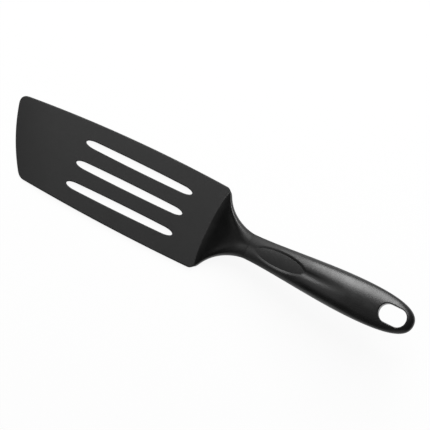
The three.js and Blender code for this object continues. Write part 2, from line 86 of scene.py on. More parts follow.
# Flare of the neck, seen from above
HEEL_HALF_WIDTH = 33.2
FLARE_FROM_BEND = 6
FLARE_START_HALF_WIDTH = 27.8
FLARE_SLOPE = 1.93  # how steeply the neck narrows there
FLARE_PULL = 7.5  # how far the outline is drawn along that slope
WAIST_PULL = 5.2  # how far it is drawn level before the waist

# Neck and handle sections
WAIST_WIDTH = 19.5
WAIST_THICKNESS = 12.6
BELLY_WIDTH = 29.8
BELLY_FROM_WAIST = 89
GRIP_THICKNESS = 16.4
GRIP_FROM_WAIST = 74
TAIL_THICKNESS = 11
NECK_SWELL_START = 0.35  # how far the neck is drawn thin, as a share of the way to the waist
NECK_SWELL_END = 0.7  # from where it is drawn as thick as the waist
WAIST_FULLNESS = 0.25  # how far a stretch of the handle's outline is drawn level at its start
BELLY_FULLNESS = 0.35  # how far it is drawn level at its end
TAIL_SIDE_FULLNESS = 0.75  # how far the sides are drawn level toward the tail
TAIL_END_FULLNESS = 0.64  # how broad the end of the tail is drawn
NECK_ROUNDING = 2.2  # how late the neck's flat face gives way to its rounded ends
NECK_TROUGH = 1.4  # how far the middle of the neck is sunk
TROUGH_DEEPEST = 0.5  # where it is deepest, as a share of the way to the waist
TROUGH_FLATNESS = 3  # how level the trough stays across its middle
TROUGH_LIP = 1.5  # how softly it ends at its edges
SQUARENESS = 2.35  # of the sections, where 2 is an oval
WALL = 2.2

# Hanging hole
HOLE_LENGTH = 21
HOLE_WIDTH = 14
HOLE_CORNER_RADIUS = 6.8
HOLE_FROM_TAIL = 16.7
HOLE_FILLET = 0.8

# Thumb rest
THUMB_LENGTH = 38
THUMB_WIDTH = 10.8
THUMB_FROM_WAIST = 26.2
THUMB_RIM = 0.45  # how far the pad's front end lies below the top of the handle
THUMB_DISH = 0.55  # how far the pad's middle is sunk between its ends
THUMB_TILT = 0.5  # how much deeper the pad lies at its rear end than at its front end
THUMB_CROWN = 0.4  # how far the pad falls to its sides
THUMB_BANK = 1.8  # width of the slanting bank round the pad
PAD_THICKNESS = 1.2
PAD_FLOOR = 1  # thickness of the shell between the pad and the tang
PAD_EDGE = 0.06  # width of the pad's rounded edge

# Shallow valley that runs out before and behind the thumb rest
VALLEY_SIDE = -0.1  # how far it lies to the long side of the axis
VALLEY_LONG_SPREAD = 1.6  # how far it spreads toward the long side
VALLEY_SHORT_SPREAD = 2.3  # how far it spreads toward the short side
# Depth, and the places from the waist where it starts, is deep, fades and ends
VALLEY_FRONT = (0.6, -18, -2, 8, 20)
VALLEY_REAR = (1.2, 36, 46, 50, 84)

# Tang, and the fits that show as fine lines
TANG_WIDTH = 10.4
TANG_LENGTH = 88
TANG_EDGE = 1
TANG_GAP = 0.3
WAIST_GAP = 0.06
SEAM_GAP = 0.2
SEAM_ROUND = 0.25
PAD_GAP = 0.05
SEAT_GAP = 0.3

# Values that follow from the sizes above
HEEL_X = BEND_START_X - HEEL_CORNER
FLARE_START_X = BEND_START_X + FLARE_FROM_BEND
BEND_LENGTH = BEND_RADIUS * RISER_ANGLE
SHOULDER_LENGTH = SHOULDER_RADIUS * (RISER_ANGLE - WAIST_ANGLE)
WAIST_AT = BEND_LENGTH + RISER_LENGTH + SHOULDER_LENGTH
HOLE_AT = HANDLE_LENGTH - HOLE_FROM_TAIL
HOLLOW_END = HOLE_AT - HOLE_LENGTH / 2 - WALL
UPPER_HOLLOW_START = THUMB_FROM_WAIST + THUMB_LENGTH / 2 + WALL
LOWER_HOLLOW_START = WAIST_THICKNESS  # as far behind the waist as it is thick
ARC_POWER = 2 / SQUARENESS  # turns the sine and cosine of a round section into those of a squarer one
SPINE = [  # the length of each stretch and its turn upward
    (BEND_LENGTH, RISER_ANGLE),
    (RISER_LENGTH, 0),
    (SHOULDER_LENGTH, WAIST_ANGLE - RISER_ANGLE),
    (HANDLE_LENGTH, TAIL_ANGLE - WAIST_ANGLE),
]

# Roughness along the neck and the handle
NECK_POLISH = 0.6  # what is left of the roughness where the neck starts
NECK_MATTE = 1.33  # how much rougher the head is at the waist than at the blade
NECK_MATTE_START = 0.25  # where it starts to grow, as a share of the way from the flare to the waist
WAIST_MATTE = 2.0  # how much rougher the handle is at the waist than farther back
WAIST_MATTE_END_X = 92

# Noise in the finishes, where a scale of 1 makes spots of about a metre
CLOUD_SCALE = 45
GLOSS_SCALE = 160
GLOSS_DETAIL = 4
WIRE_SPOT_SCALE = 300
WIRE_LINE_SCALE = 700
WIRE_LINE_DETAIL = 3
WIRE_STRETCH = (1, 1, 12)  # squeezes spots into lines round the wire
NOISE_LOW = 0.3  # nearly all values of a noise lie between these two
NOISE_HIGH = 0.7

# Studio, in metres
FLOOR_SIZE = 60
FLOOR_COLOUR = 0.85
FLOOR_GLOW = 0.92  # share of plain white in what is seen of the floor, which keeps shadows faint
WALL_LEVEL = 0.85
WALL_TOP = 0.056  # sine of the elevation where the pale walls start to darken
CEILING_LEVEL = 0.02
CEILING_START = 0.085  # sine of the elevation where the dim ceiling starts
SOFTBOX_POWER = 4  # power of a square metre of softbox whose face has a brightness of 1
VIEW_DISTANCE = 1.5
VIEW_END = 100
VIEW_TILT = math.radians(2.45)  # the camera stands a little to the short side
VIEW_ROLL = math.radians(26.32)  # how far the handle points down to the right in the picture
VIEW_TARGET = Vector((9.9, 10.1, BLADE_THICKNESS)) * MM
PICTURE_WIDTH = 318.3 * MM  # what the picture spans at the blade
SENSOR_WIDTH = 36  # in millimetres, as the lens is

# How finely the meshes are divided
HEEL_COUNT = 16  # along each side of the heel
LONG_SIDE_COUNT = 80
SHORT_SIDE_COUNT = 66
FRONT_COUNT = 40
CORNER_COUNT = 14
SLOT_SIDE_COUNT = 48
SLOT_END_COUNT = 20
END_COUNT = 16  # round each rounded edge
FLAT_COUNT = 28  # across the flat of the neck
BEND_COUNT = 10
NECK_COUNT = 36
TANG_COUNT = 8
ARCH_COUNT = 56  # over one half of the handle, from seam to seam
ROW_COUNT = 110  # along the handle
INSIDE_COUNT = 60  # along the space inside the handle
HOLE_CORNER_COUNT = 24
HOLE_WALL_COUNT = 4
OVAL_COUNT = 128
FILLET_COUNT = 6
BANK_COUNT = 8
READ_COUNT = 200  # along each curve that is read as a height
GRID_SPACING = 3.5  # along the blade, between points on its flat faces
GRID_ACROSS = 18
GRID_CLEAR = 2  # how far these points keep from edges and slots
RIM_CLEAR = 0.5  # how far points of the handle's skin keep from the rims of its openings
SUPPORT_REACH = 2  # how far in a second line follows an edge, in widths of the edge, to even out the shading
SETTLE_ROUNDS = 40  # after which a place that is found by repeated steps no longer moves
FILL_TOLERANCE = 1e-6
MERGE_DISTANCE = 0.002
SHARP_ANGLE = math.radians(40)


def steps(start, end, count):
    """Evenly spaced values from one number to another."""
    return [start + (end - start) * i / count for i in range(count + 1)]


def lerp(a, b, share):
    """The value a share of the way from one number to another."""
    return a + (b - a) * share


def smooth(share):
    """0 to 1 with a level start and end."""
    share = max(0, min(1, share))
    return share * share * (3 - 2 * share)


def signed_power(value, power):
    """A power that keeps the sign of the value."""
    return math.copysign(abs(value) ** power, value)


def curve(controls, count):
    """Points along a Bezier curve."""
    def point(share):
        level = controls
        while len(level) > 1:
            level = [(lerp(a[0], b[0], share), lerp(a[1], b[1], share)) for a, b in zip(level, level[1:])]
        return level[0]
    return [point(share) for share in steps(0, 1, count)]


def read(*curves):
    """The height of curves laid end to end, above their own x."""
    path = [point for controls in curves for point in curve(controls, READ_COUNT)]
    xs = [x for x, _ in path]

    def height(x):
        after = min(max(bisect.bisect_left(xs, x), 1), len(xs) - 1)
        (x0, y0), (x1, y1) = path[after - 1], path[after]
        share = (x - x0) / (x1 - x0) if x1 > x0 else 1
        return lerp(y0, y1, max(0, min(1, share)))
    return height


# The spine and the outlines that the sections follow


def spine_at(distance):
    """X, Z and slope of the spine at a distance from the start of the bend."""
    x, z, angle = BEND_START_X, BLADE_THICKNESS / 2, 0
    left = distance
    for length, turn in SPINE:
        part = min(left, length)
        half = turn * part / length / 2
        chord = part * math.sin(half) / half if half else part
        x += chord * math.cos(angle + half)
        z += chord * math.sin(angle + half)
        angle += 2 * half
        left -= part
    return x, z, angle


def place(distance, side, up):
    """A point beside and above the spine."""
    x, z, angle = spine_at(distance)
    return x - up * math.sin(angle), side, z + up * math.cos(angle)


def bow(side):
    """How far the bend is set back at a distance to the side."""
    return BEND_BOW * (abs(side) / HEEL_HALF_WIDTH) ** BOW_POWER


def neck_plan():
    """Half the width of the neck against X."""
    corner_x = FLARE_START_X - (HEEL_HALF_WIDTH - FLARE_START_HALF_WIDTH) / FLARE_SLOPE
    flare = (FLARE_START_X, FLARE_START_HALF_WIDTH)
    heel = [(HEEL_X, HEEL_HALF_WIDTH), (corner_x, HEEL_HALF_WIDTH), flare]
    pulled = (FLARE_START_X + FLARE_PULL, FLARE_START_HALF_WIDTH - FLARE_PULL * FLARE_SLOPE)
    waist = (WAIST_X, WAIST_WIDTH / 2)
    return read(heel, [flare, pulled, (WAIST_X - WAIST_PULL, WAIST_WIDTH / 2), waist])


def neck_side():
    """Half the thickness of the neck against the distance along the spine."""
    thin, thick = BLADE_THICKNESS / 2, WAIST_THICKNESS / 2
    leaving = (NECK_SWELL_START * WAIST_AT, thin)
    arriving = (NECK_SWELL_END * WAIST_AT, thick)
    return read([(0, thin), leaving, arriving, (WAIST_AT, thick)])


def swell(start, end):
    """One eased stretch of a handle outline between two points where it runs level."""
    span = end[0] - start[0]
    leaving = (start[0] + WAIST_FULLNESS * span, start[1])
    arriving = (end[0] - BELLY_FULLNESS * span, end[1])
    return [start, leaving, arriving, end]


def tail_round(start):
    """The rounded end of a handle outline, from where it runs level to the tail."""
    turn = start[0] + TAIL_SIDE_FULLNESS * (HANDLE_LENGTH - start[0])
    return [start, (turn, start[1]), (HANDLE_LENGTH, TAIL_END_FULLNESS * start[1]), (HANDLE_LENGTH, 0)]


def handle_plan():
    """Half the width of the handle against the distance from the waist."""
    belly = (BELLY_FROM_WAIST, BELLY_WIDTH / 2)
    return read(swell((0, WAIST_WIDTH / 2), belly), tail_round(belly))


def handle_side():
    """Half the thickness of the handle against the distance from the waist."""
    grip = (GRIP_FROM_WAIST, GRIP_THICKNESS / 2)
    tail = (HOLE_AT, TAIL_THICKNESS / 2)
    return read(swell((0, WAIST_THICKNESS / 2), grip), swell(grip, tail), tail_round(tail))


WAIST_X = spine_at(WAIST_AT)[0]
neck_half_width = neck_plan()
neck_half_thickness = neck_side()
handle_half_width = handle_plan()
handle_half_thickness = handle_side()
PAD_CREST = handle_half_thickness(THUMB_FROM_WAIST) - THUMB_RIM - THUMB_TILT / 2 - THUMB_DISH
TANG_THICKNESS = 2 * (PAD_CREST - PAD_THICKNESS - SEAT_GAP - PAD_FLOOR - TANG_GAP)


def neck_widths(distance):
    """Half the width of the neck and of its flat face, where the bowed ring reaches the neck's outline."""
    x = spine_at(distance)[0]
    flat_share = 1 - ((x - BEND_START_X) / (WAIST_X - BEND_START_X)) ** NECK_ROUNDING
    half_flat = 0
    for _ in range(SETTLE_ROUNDS):
        half_width = neck_half_width(x + bow(half_flat))
        half_flat = (half_width - BLADE_EDGE) * flat_share
    return half_width, half_flat


HEEL_END_X = BEND_START_X + bow(neck_widths(0)[1])


def valley(at, y):
    """Depth of the shallow valley at a distance from the waist and a distance to the side."""
    spread = VALLEY_LONG_SPREAD if y > VALLEY_SIDE else VALLEY_SHORT_SPREAD
    across = (y - VALLEY_SIDE) / spread
    along = 0
    for depth, start, deep, fade, end in (VALLEY_FRONT, VALLEY_REAR):
        along += depth * smooth((at - start) / (deep - start)) * (1 - smooth((at - fade) / (end - fade)))
    return along * math.exp(-across * across / 2)


# Collecting a mesh


def encloses(loop, x, y):
    """Whether a closed loop of points goes round a point."""
    inside = False
    for (x0, y0), (x1, y1) in zip(loop, loop[1:] + loop[:1]):
        if (y0 > y) != (y1 > y) and x < lerp(x0, x1, (y - y0) / (y1 - y0)):
            inside = not inside
    return inside


class Skin:
    """Faces of one piece, in millimetres. Points that coincide are merged when the piece is finished."""

    def __init__(self):
        self.points = []
        self.faces = []

    def add(self, points):
        """The indices of points that are put in."""
        start = len(self.points)
        self.points.extend(points)
        return range(start, len(self.points))

    def grid(self, rows, closed=False):
        """Quads between rows of equal length, with the ends of each row joined where it is closed."""
        indices = [self.add(row) for row in rows]
        count = len(rows[0])
        for a, b in zip(indices, indices[1:]):
            for j in range(count if closed else count - 1):
                k = (j + 1) % count
                self.faces.append((a[j], a[k], b[k], b[j]))

    def fill(self, loops, inner, lift):
        """Triangles over the flat region inside the first loop and outside the others, lifted into space."""
        flat = []
        edges = []
        for loop in loops:
            start = len(flat)
            flat.extend(loop)
            edges.extend((start + i, start + (i + 1) % len(loop)) for i in range(len(loop)))
        flat.extend(inner)
        inside_constraints = 1
        made = delaunay_2d_cdt([Vector(p) for p in flat], edges, [], inside_constraints, FILL_TOLERANCE)
        verts, triangles, sources = made[0], made[2], made[3]
        exact = [flat[source[0]] if source else tuple(vert) for vert, source in zip(verts, sources)]
        indices = self.add([lift(*point) for point in exact])
        for triangle in triangles:
            middle = [sum(exact[i][axis] for i in triangle) / 3 for axis in (0, 1)]
            if not any(encloses(loop, *middle) for loop in loops[1:]):
                self.faces.append(tuple(indices[i] for i in triangle))

    def cap(self, points):
        """One flat face."""
        self.faces.append(tuple(self.add(points)))

    def finish(self, name, slot, node, material):
        """The closed mesh as a piece that rides on the frame and stands for its solid."""
        mesh = bpy.data.meshes.new(name)
        mesh.from_pydata([Vector(p) * MM for p in self.points], [], self.faces)
        edit = bmesh.new()
        edit.from_mesh(mesh)
        bmesh.ops.remove_doubles(edit, verts=edit.verts, dist=MERGE_DISTANCE * MM)
        bmesh.ops.delete(edit, geom=[v for v in edit.verts if not v.link_faces], context="VERTS")
        bmesh.ops.recalc_face_normals(edit, faces=edit.faces)
        edit.to_mesh(mesh)
        edit.free()
        for face in mesh.polygons:
            face.use_smooth = True
        mesh.set_sharp_from_angle(angle=SHARP_ANGLE)
        mesh.materials.append(material)
        piece = bpy.data.objects.new(name, mesh)
        bpy.context.scene.collection.objects.link(piece)
        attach(piece, "root")
        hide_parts(node)


# The head: blade plate, slots, neck and tang


def long_side(x):
    """Y of the blade's long side."""
    across = x - LONG_SIDE_CREST_X
    return LONG_SIDE_HALF_WIDTH - LONG_SIDE_RADIUS + math.sqrt(LONG_SIDE_RADIUS ** 2 - across ** 2)


def short_side(x):
    """Y of the blade's short side."""
    across = x - SHORT_SIDE_CREST_X
    return -(SHORT_SIDE_HALF_WIDTH - SHORT_SIDE_RADIUS + math.sqrt(SHORT_SIDE_RADIUS ** 2 - across ** 2))


def front_x(y):
    """X of the blade's front edge."""
    centre = math.sqrt(FRONT_RADIUS ** 2 - FRONT_OFFSET ** 2) - BLADE_LENGTH
    return centre - math.sqrt(FRONT_RADIUS ** 2 - (y - FRONT_OFFSET) ** 2)


def corner_on(side):
    """Where a side of the blade meets the front edge."""
    y = side(-BLADE_LENGTH)
    for _ in range(SETTLE_ROUNDS):
        y = side(front_x(y))
    return front_x(y), y


LONG_TIP = corner_on(long_side)
SHORT_TIP = corner_on(short_side)
FRONT_SLANT = math.atan2(SHORT_TIP[0] - LONG_TIP[0], LONG_TIP[1] - SHORT_TIP[1])


def heel_turn(side, x):
    """A side of the blade, turning smoothly into the neck's outline just before the bend."""
    neck = math.copysign(neck_half_width(x), side(x))
    return lerp(side(x), neck, smooth((x - HEEL_X) / (HEEL_END_X - HEEL_X)))


def blade_outline():
    """The blade's edge from the heel along the long side, round the front and back along the short side."""
    long_end = LONG_TIP[0] + LONG_CORNER
    short_end = SHORT_TIP[0] + SHORT_CORNER
    front_start = LONG_TIP[1] - LONG_CORNER
    front_end = SHORT_TIP[1] + SHORT_CORNER
    long_join = (long_end, long_side(long_end))
    short_join = (short_end, short_side(short_end))
    points = [(x, heel_turn(long_side, x)) for x in steps(HEEL_END_X, HEEL_X, HEEL_COUNT)]
    points += [(x, long_side(x)) for x in steps(HEEL_X, long_end, LONG_SIDE_COUNT)[1:]]
    points += curve([long_join, LONG_TIP, (front_x(front_start), front_start)], CORNER_COUNT)[1:]
    points += [(front_x(y), y) for y in steps(front_start, front_end, FRONT_COUNT)[1:]]
    points += curve([(front_x(front_end), front_end), SHORT_TIP, short_join], CORNER_COUNT)[1:]
    points += [(x, short_side(x)) for x in steps(short_end, HEEL_X, SHORT_SIDE_COUNT)[1:]]
    points += [(x, heel_turn(short_side, x)) for x in steps(HEEL_X, HEEL_END_X, HEEL_COUNT)[1:]]
    return points


def slot_outline(y):
    """One slot, clockwise: slightly barrel-shaped sides and long oval ends."""
    end = SLOT_END_WIDTH / 2
    bulge = SLOT_WIDTH - end
    reach = SLOT_LENGTH / 2 - SLOT_END_LENGTH
    left, right = SLOT_CENTRE_X - reach, SLOT_CENTRE_X + reach
    turn = [math.pi * share for share in steps(0.5, -0.5, SLOT_END_COUNT)][1:-1]
    points = curve([(left, y + end), (SLOT_CENTRE_X, y + bulge), (right, y + end)], SLOT_SIDE_COUNT)
    points += [(right + SLOT_END_LENGTH * math.cos(angle), y + end * math.sin(angle)) for angle in turn]
    points += curve([(right, y - end), (SLOT_CENTRE_X, y - bulge), (left, y - end)], SLOT_SIDE_COUNT)
    points += [(left - SLOT_END_LENGTH * math.cos(angle), y - end * math.sin(angle)) for angle in turn]
    return points


def normals_of(points, closed):
    """Unit normals to the right of the way along the points. An open line ends square to the X axis."""
    count = len(points)
    normals = []
    for i in range(count):
        before = points[i - 1 if closed or i else 0]
        after = points[(i + 1) % count if closed or i + 1 < count else i]
        normal = Vector((after[1] - before[1], before[0] - after[0])).normalized()
        normals.append((normal.x, normal.y))
    if not closed:
        normals[0] = (0, 1)
        normals[-1] = (0, -1)
    return normals


def moved(points, normals, reach):
    """Points moved along their normals."""
    return [(x + reach * nx, y + reach * ny) for (x, y), (nx, ny) in zip(points, normals)]


def blade_top(x, y):
    """Height of the blade's upper face, which thins toward the front edge."""
    behind = (x + BLADE_LENGTH) * math.cos(FRONT_SLANT) + y * math.sin(FRONT_SLANT)
    share = max(0, min(1, behind / FRONT_TAPER))
    return lerp(FRONT_THICKNESS, BLADE_THICKNESS, 1 - (1 - share) ** 2)


END_ANGLES = steps(math.pi / 2, -math.pi / 2, END_COUNT)


def edge_rows(points, normals, width):
    """The rounded edge outside a line of the flat face, as rows of points from its top to its bottom."""
    rows = []
    for angle in END_ANGLES:
        reach = width * abs(math.cos(angle)) ** ARC_POWER
        lift = (1 + signed_power(math.sin(angle), ARC_POWER)) / 2
        outer = moved(points, normals, reach)
        rows.append([(x, y, lift * blade_top(*flat)) for (x, y), flat in zip(outer, points)])
    return rows


def blade_grid(slots):
    """Points spread over the flat face, clear of its edges and of the slots."""
    row_count = round((BEND_START_X - LONG_TIP[0]) / GRID_SPACING)
    points = []
    for x in steps(LONG_TIP[0], BEND_START_X, row_count):
        for y in steps(short_side(x) + GRID_CLEAR, long_side(x) - GRID_CLEAR, GRID_ACROSS):
            past_front = x > front_x(y) + GRID_CLEAR
            before_heel = x < HEEL_X - GRID_CLEAR
            in_slot = any(abs(y - slot) < SLOT_WIDTH / 2 + GRID_CLEAR for slot in slots)
            in_slot = in_slot and abs(x - SLOT_CENTRE_X) < SLOT_LENGTH / 2 + GRID_CLEAR
            if past_front and before_heel and not in_slot:
                points.append((x, y))
    return points


def add_blade(skin):
    """The blade plate with its rounded edges, slots and flat faces, open at the heel."""
    slots = [(i - (SLOT_COUNT - 1) / 2) * SLOT_PITCH for i in range(SLOT_COUNT)]
    outline = blade_outline()
    normals = normals_of(outline, closed=False)
    flat_edge = moved(outline, normals, -BLADE_EDGE)
    half_flat = flat_edge[0][1]
    rear = [(BEND_START_X + bow(y), y) for y in steps(-half_flat, half_flat, FLAT_COUNT)[1:-1]]
    support = moved(outline, normals, -SUPPORT_REACH * BLADE_EDGE)[1:-1]
    loops = [flat_edge + rear]
    skin.grid(edge_rows(flat_edge, normals, BLADE_EDGE))
    for y in slots:
        wall = slot_outline(y)
        into = normals_of(wall, closed=True)
        rim = moved(wall, into, -SLOT_EDGE)
        support += moved(wall, into, -SUPPORT_REACH * SLOT_EDGE)
        loops.append(rim)
        skin.grid(edge_rows(rim, into, SLOT_EDGE), closed=True)
    inner = support + blade_grid(slots)
    skin.fill(loops, inner, lambda x, y: (x, y, blade_top(x, y)))
    skin.fill(loops, inner, lambda x, y: (x, y, 0))


def trough(distance, y, half_flat):
    """Depth of the neck's dished upper face."""
    if abs(y) >= half_flat:
        return 0
    along = distance / WAIST_AT
    across = (1 - (abs(y) / half_flat) ** TROUGH_FLATNESS) ** TROUGH_LIP
    return NECK_TROUGH * smooth(along / TROUGH_DEEPEST) * smooth((1 - along) / (1 - TROUGH_DEEPEST)) * across


def flat_ring(distance, half_width, half_thickness, half_flat):
    """A closed ring of points across the spine, from the long side over the top and back underneath."""
    def end(sign, angles):
        return [place(distance,
                      sign * lerp(half_flat, half_width, abs(math.cos(angle)) ** ARC_POWER),
                      half_thickness * signed_power(math.sin(angle), ARC_POWER)) for angle in angles]
    top = [place(distance, side, half_thickness) for side in steps(half_flat, -half_flat, FLAT_COUNT)]
    bottom = [place(distance, side, -half_thickness) for side in steps(-half_flat, half_flat, FLAT_COUNT)]
    inner_angles = END_ANGLES[1:-1]
    return top + end(-1, inner_angles) + bottom + end(1, inner_angles[::-1])


def neck_ring(distance):
    """A ring across the neck: flat above and below, with rounded ends that take over toward the waist."""
    half_width, half_flat = neck_widths(distance)
    ring = flat_ring(distance, half_width, neck_half_thickness(distance), half_flat)
    middle_z = spine_at(distance)[1]
    points = []
    for x, y, z in ring:
        sink = valley(distance - WAIST_AT, y) + trough(distance, y, half_flat) if z > middle_z else 0
        points.append((x + bow(min(abs(y), half_flat)), y, z - sink))
    return points


def add_neck(skin):
    """The neck from the bend to the waist, and the tang behind it."""
    places = steps(0, BEND_LENGTH, BEND_COUNT) + steps(BEND_LENGTH, WAIST_AT, NECK_COUNT)[1:]
    tang = [flat_ring(WAIST_AT + at, TANG_WIDTH / 2, TANG_THICKNESS / 2, TANG_WIDTH / 2 - TANG_EDGE)
            for at in steps(0, TANG_LENGTH, TANG_COUNT)]
    skin.grid([neck_ring(at) for at in places] + tang, closed=True)
    skin.cap(tang[-1])


def head_skin():
    """The whole head as one closed skin."""
    skin = Skin()
    add_blade(skin)
    add_neck(skin)
    return skin


# The lines and heights of the handle, by the distance from the waist, to the side and up from the seam


def in_space(at, side, up):
    """A point of the handle in the frame of the solids."""
    return place(WAIST_AT + at, side, up)


def all_in_space(rows, lift=in_space):
    """Rows of points of the handle in the frame of the solids."""
    return [[lift(*point) for point in row] for row in rows]


def along_at(row):
    """Distance from the waist of a row place: rows crowd together where the tail rounds off."""
    if row <= HOLE_AT:
        return row
    return HOLE_AT + HOLE_FROM_TAIL * math.sin((row - HOLE_AT) / HOLE_FROM_TAIL)


def row_of(at):
    """The row place of a distance from the waist."""
    if at <= HOLE_AT:
        return at
    return HOLE_AT + HOLE_FROM_TAIL * math.asin(min(1, (at - HOLE_AT) / HOLE_FROM_TAIL))


def skin_up(at, y, top):
    """Height of the handle's skin above the seam."""
    half_width = handle_half_width(at)
    rise = max(0, handle_half_thickness(at) - SEAM_GAP / 2)
    share = min(1, abs(y) / half_width) if half_width > 0 else 1
    up = SEAM_GAP / 2 + rise * (1 - share ** SQUARENESS) ** (1 / SQUARENESS)
    return up - valley(at, y) if top else up


def skin_point(at, angle, top):
    """A point of the handle's skin, which rounds in a little where it meets the seam."""
    side = handle_half_width(at) * signed_power(math.cos(angle), ARC_POWER)
    up = skin_up(at, side, top)
    inset = SEAM_ROUND * max(0, 1 - (up - SEAM_GAP / 2) / SEAM_ROUND) ** 2
    return at, side - math.copysign(min(inset, abs(side)), side), up


def angle_on(at, y):
    """The angle at which the skin passes a distance to the side."""
    return math.acos(signed_power(y / handle_half_width(at), 1 / ARC_POWER))


def oval_line(grow):
    """The thumb rest's outline, grown outward."""
    half_length = THUMB_LENGTH / 2 + grow
    half_width = THUMB_WIDTH / 2 + grow
    turns = [2 * math.pi * i / OVAL_COUNT for i in range(OVAL_COUNT)]
    return [(THUMB_FROM_WAIST + half_length * math.cos(turn), half_width * math.sin(turn)) for turn in turns]


def in_oval(at, y, grow):
    """Whether a point lies in the thumb rest's outline, grown outward."""
    along = (at - THUMB_FROM_WAIST) / (THUMB_LENGTH / 2 + grow)
    across = y / (THUMB_WIDTH / 2 + grow)
    return along * along + across * across < 1


def shrunk(points, share):
    """A line round the thumb rest, drawn in toward its middle."""
    return [(lerp(THUMB_FROM_WAIST, at, share), y * share) for at, y in points]


def hole_line(grow):
    """The hanging hole's outline, grown outward: four round corners joined by straight sides."""
    radius = HOLE_CORNER_RADIUS + grow
    reach = HOLE_LENGTH / 2 - HOLE_CORNER_RADIUS
    spread = HOLE_WIDTH / 2 - HOLE_CORNER_RADIUS
    corners = [(reach, spread), (-reach, spread), (-reach, -spread), (reach, -spread)]
    points = []
    for i, (x, y) in enumerate(corners):
        for turn in steps(i * math.pi / 2, (i + 1) * math.pi / 2, HOLE_CORNER_COUNT):
            points.append((HOLE_AT + x + radius * math.cos(turn), y + radius * math.sin(turn)))
    return points


def in_hole(at, y, grow):
    """Whether a point lies in the hanging hole's outline, grown outward."""
    past = max(0, abs(at - HOLE_AT) - (HOLE_LENGTH / 2 - HOLE_CORNER_RADIUS))
    beside = max(0, abs(y) - (HOLE_WIDTH / 2 - HOLE_CORNER_RADIUS))
    return math.hypot(past, beside) < HOLE_CORNER_RADIUS + grow


def pad_up(at, y):
    """Height of the thumb pad's top: dished along the handle, tilted, and slightly crowned across it."""
    along = 2 * (at - THUMB_FROM_WAIST) / THUMB_LENGTH
    across = 2 * y / THUMB_WIDTH
    dish = THUMB_DISH * (1 - along * along) + THUMB_CROWN * across * across
    tilt = THUMB_TILT * (1 + along) / 2
    return handle_half_thickness(at) - THUMB_RIM - tilt - dish


def seat_up(at, y):
    """Height of the floor under the thumb pad."""
    return pad_up(at, y) - PAD_THICKNESS - SEAT_GAP


def inner_half(at, hollow_start):
    """Half width and height of the space inside a shell: the tang's channel, opening into the hollow."""
    share = smooth((at - hollow_start) / WALL)
    half_width = lerp(TANG_WIDTH / 2 + TANG_GAP, handle_half_width(at) - WALL, share)
    height = lerp(TANG_THICKNESS / 2 + TANG_GAP, handle_half_thickness(at) - WALL, share)
    return half_width, height


# The handle shells

SHELL_ROWS = [WAIST_GAP] + steps(0, row_of(HANDLE_LENGTH), ROW_COUNT)[1:]
SHELL_ANGLES = steps(0, math.pi, ARCH_COUNT)
TURN_WIDTH = BELLY_WIDTH / 2  # width of one radian of the skin when it is laid out flat
FLOOR_RINGS = (0.8, 0.5, 0.2)  # rings on the floor of the recess, as shares of its outline

# Openings in a shell: the outline, the test for what lies in it, and how far the rim reaches outside
HOLE_OPENING = (hole_line, in_hole, HOLE_FILLET)
THUMB_OPENING = (oval_line, in_oval, THUMB_BANK)


def add_outside(skin, lift, top, openings):
    """The outside of a shell, laid out flat by rows and turns and filled round its openings."""
    turns = [angle * TURN_WIDTH for angle in SHELL_ANGLES]
    long_edge = [(row, turns[0]) for row in SHELL_ROWS]
    tail_edge = [(SHELL_ROWS[-1], turn) for turn in turns[1:-1]]
    short_edge = [(row, turns[-1]) for row in SHELL_ROWS[::-1]]
    waist_edge = [(SHELL_ROWS[0], turn) for turn in turns[-2:0:-1]]
    loops = [long_edge + tail_edge + short_edge + waist_edge]
    for line, _, reach in openings:
        loops.append([(row_of(at), angle_on(at, y) * TURN_WIDTH) for at, y in line(reach)])
    inner = []
    for row in SHELL_ROWS[1:-1]:
        for angle in SHELL_ANGLES[1:-1]:
            at, y, _ = skin_point(along_at(row), angle, top)
            if not any(within(at, y, reach + RIM_CLEAR) for _, within, reach in openings):
                inner.append((row, angle * TURN_WIDTH))
    skin.fill(loops, inner, lambda row, turn: lift(*skin_point(along_at(row), turn / TURN_WIDTH, top)))


def add_hole_wall(skin, lift, top):
    """The hanging hole: a rim that turns down from the skin, and a wall from there to the seam."""
    rows = []
    for turn in steps(0, math.pi / 2, FILLET_COUNT):
        drop = HOLE_FILLET * (1 - math.cos(turn))
        line = hole_line(HOLE_FILLET * (1 - math.sin(turn)))
        rows.append([(at, y, skin_up(at, y, top) - drop) for at, y in line])
    rim = rows[-1]
    for share in steps(0, 1, HOLE_WALL_COUNT)[1:]:
        rows.append([(at, y, lerp(up, SEAM_GAP / 2, share)) for at, y, up in rim])
    skin.grid(all_in_space(rows, lift), closed=True)


def add_thumb_recess(skin):
    """The bank, the wall and the floor of the recess that holds the thumb pad."""
    rows = []
    for share in steps(0, 1, BANK_COUNT):
        line = oval_line(THUMB_BANK * (1 - share))
        rows.append([(at, y, lerp(skin_up(at, y, True), pad_up(at, y), share)) for at, y in line])
    outline = oval_line(0)
    for line in [outline] + [shrunk(outline, share) for share in FLOOR_RINGS]:
        rows.append([(at, y, seat_up(at, y)) for at, y in line])
    rows = all_in_space(rows)
    skin.grid(rows, closed=True)
    skin.cap(rows[-1])


def inside_rows(hollow_start):
    """Rows of points over the space inside a shell, from the waist to the end of the hollow."""
    rows = []
    for at in steps(WAIST_GAP, HOLLOW_END, INSIDE_COUNT):
        half_width, height = inner_half(at, hollow_start)
        rows.append([(at, half_width * math.cos(angle), SEAM_GAP / 2 + height * math.sin(angle))
                     for angle in SHELL_ANGLES])
    return rows


def add_inside(skin, lift, top, inside):
    """The wall of the space inside a shell, and the shell's front face at the waist."""
    rows = all_in_space(inside, lift)
    skin.grid(rows)
    skin.cap(rows[-1])
    front = [skin_point(WAIST_GAP, angle, top) for angle in SHELL_ANGLES]
    skin.grid(all_in_space([front, inside[0]], lift))


